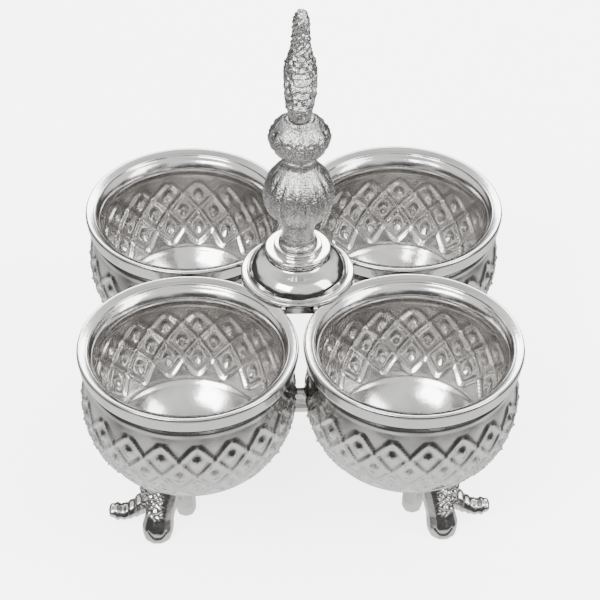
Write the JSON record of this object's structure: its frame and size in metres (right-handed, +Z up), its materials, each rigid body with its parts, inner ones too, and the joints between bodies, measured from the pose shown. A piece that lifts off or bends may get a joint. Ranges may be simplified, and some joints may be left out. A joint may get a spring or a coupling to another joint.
{
  "type": "kumkum holder",
  "caption": "Carrying stand of round open bowls with lattice embossing, on cast feet, round a central bell-based handle with a bird finial.",
  "frame": {"origin": "centre of the footprint, on the surface the feet stand on", "axes": "+Z up along the handle, -Y the front, +X to the right seen from the front"},
  "size_m": [0.1212, 0.1212, 0.1453],
  "materials": {
    "polished_plate": "bright polished silver plate",
    "embossed_plate": "bright silver plate over embossed sheet",
    "cast_plate": "bright silver plate over rough casting",
    "steel_fastener": "plain steel"
  },
  "bodies": {
    "root": {"bowl_front_left": "embossed_plate", "bowl_front_right": "embossed_plate", "bowl_back_left": "embossed_plate", "bowl_back_right": "embossed_plate", "foot_front_left": "cast_plate", "foot_front_right": "cast_plate", "foot_back_left": "cast_plate", "foot_back_right": "cast_plate", "lug_front": "cast_plate", "lug_back": "cast_plate", "lug_left": "cast_plate", "lug_right": "cast_plate", "centre_plate": "polished_plate", "dome_base": "polished_plate", "collar_ring": "polished_plate", "baluster": "cast_plate", "lobed_knob": "cast_plate", "bird_finial": "cast_plate", "tie_rod": "steel_fastener", "clamp_washer": "steel_fastener", "clamp_nut": "steel_fastener"}
  },
  "joints": []
}
